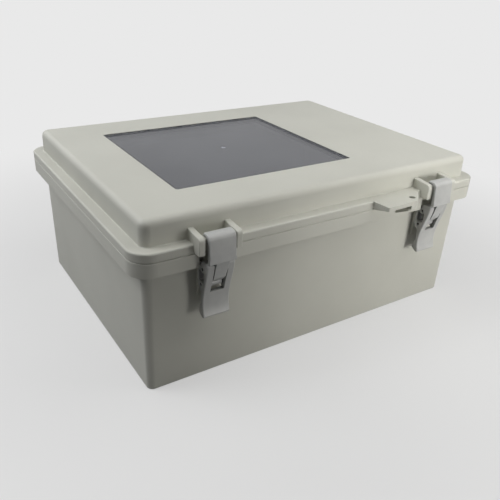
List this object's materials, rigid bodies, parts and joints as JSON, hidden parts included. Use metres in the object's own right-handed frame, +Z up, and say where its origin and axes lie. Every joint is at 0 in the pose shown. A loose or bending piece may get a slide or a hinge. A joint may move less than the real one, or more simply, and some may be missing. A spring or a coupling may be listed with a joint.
{
  "type": "latched enclosure",
  "caption": "Shallow weatherproof plastic box with a hinged lid, a tinted window in the lid, over-centre side latches and a padlock tab.",
  "frame": {"origin": "centre of the base's underside", "axes": "+X along the front to the right as seen from the latches, -Y towards the latches, +Z up through the lid"},
  "size_m": [0.4, 0.3307, 0.1658],
  "materials": {
    "housing_grey": "fine-grained moulded ABS, light grey",
    "latch_grey": "smooth moulded, slightly cooler grey",
    "frame_plastic": "moulded, light grey",
    "tinted_panel": "polished smoke-tinted polycarbonate",
    "gasket_foam": "closed-cell sealing cord",
    "pin_steel": "ground pin",
    "screw_steel": "zinc plated",
    "brass_insert": "turned"
  },
  "bodies": {
    "base": {"base_shell": "housing_grey", "boss_inserts": "brass_insert", "wall_mount_inserts": "brass_insert", "hinge_pin_left": "pin_steel", "hinge_pin_right": "pin_steel"},
    "lid": {"lid_shell": "housing_grey", "lid_gasket": "gasket_foam", "window_gasket": "gasket_foam", "window_panel": "tinted_panel", "window_frame": "frame_plastic", "window_frame_screws": "screw_steel"},
    "lever_left": {"latch_lever_left": "latch_grey", "lever_pin_left": "pin_steel", "hook_pin_left": "pin_steel"},
    "hook_left": {"latch_hook_left": "latch_grey"},
    "lever_right": {"latch_lever_right": "latch_grey", "lever_pin_right": "pin_steel", "hook_pin_right": "pin_steel"},
    "hook_right": {"latch_hook_right": "latch_grey"}
  },
  "joints": [
    {"name": "lid_hinge", "type": "hinge", "parent": "base", "child": "lid", "pos_m": [0, 0.1565, 0.135], "axis": [-1, 0, 0], "range_deg": [0, 110]},
    {"name": "lever_left_pivot", "type": "hinge", "parent": "base", "child": "lever_left", "pos_m": [-0.1295, -0.1515, 0.1198], "axis": [-1, 0, 0], "range_deg": [0, 90]},
    {"name": "hook_left_pivot", "type": "hinge", "parent": "lever_left", "child": "hook_left", "pos_m": [-0.1295, -0.1488, 0.1042], "axis": [-1, 0, 0], "range_deg": [-82, 0]},
    {"name": "lever_right_pivot", "type": "hinge", "parent": "base", "child": "lever_right", "pos_m": [0.1295, -0.1515, 0.1198], "axis": [-1, 0, 0], "range_deg": [0, 90]},
    {"name": "hook_right_pivot", "type": "hinge", "parent": "lever_right", "child": "hook_right", "pos_m": [0.1295, -0.1488, 0.1042], "axis": [-1, 0, 0], "range_deg": [-82, 0]}
  ],
  "couplings": [
    {"joint": "hook_left_pivot", "follows": "lever_left_pivot", "ratio": -0.9},
    {"joint": "hook_right_pivot", "follows": "lever_right_pivot", "ratio": -0.9}
  ]
}
